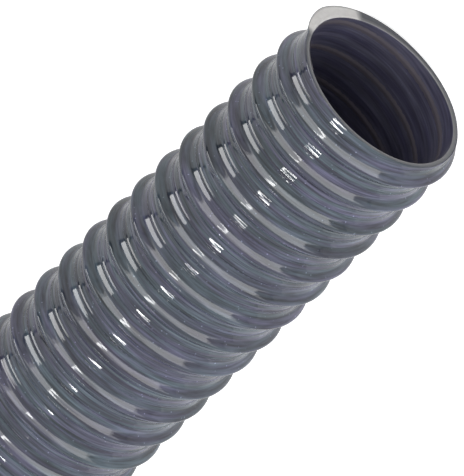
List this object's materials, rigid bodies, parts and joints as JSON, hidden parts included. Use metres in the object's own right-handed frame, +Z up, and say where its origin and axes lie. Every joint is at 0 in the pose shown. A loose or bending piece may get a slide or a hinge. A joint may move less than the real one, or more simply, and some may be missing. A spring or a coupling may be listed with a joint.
{
  "type": "rv sewer hose",
  "caption": "Smooth-bore spiral-ribbed flexible waste hose, 3 inch bore, both ends cut square, laid in one open loop.",
  "frame": {"origin": "centre of the bore in the plane of the cut mouth", "axes": "+X out of the mouth along the bore, +Z up, loop on the +Y side; floor at z = -0.0442 m"},
  "size_m": [1.0884, 1.1914, 0.0885],
  "materials": {
    "wall": "glossy dark slate-grey flexible PVC, smooth bore",
    "rib": "glossy dark slate-grey rigid PVC, pale where it is cut"
  },
  "bodies": {
    "root": {"wall_mouth_run": "wall", "wall_bend_1": "wall", "wall_bend_2": "wall", "wall_bend_3": "wall", "wall_bend_4": "wall", "wall_bend_5": "wall", "wall_bend_6": "wall", "wall_tail_run": "wall", "rib_mouth_run": "rib", "rib_bend_1": "rib", "rib_bend_2": "rib", "rib_bend_3": "rib", "rib_bend_4": "rib", "rib_bend_5": "rib", "rib_bend_6": "rib", "rib_tail_run": "rib"}
  },
  "joints": []
}
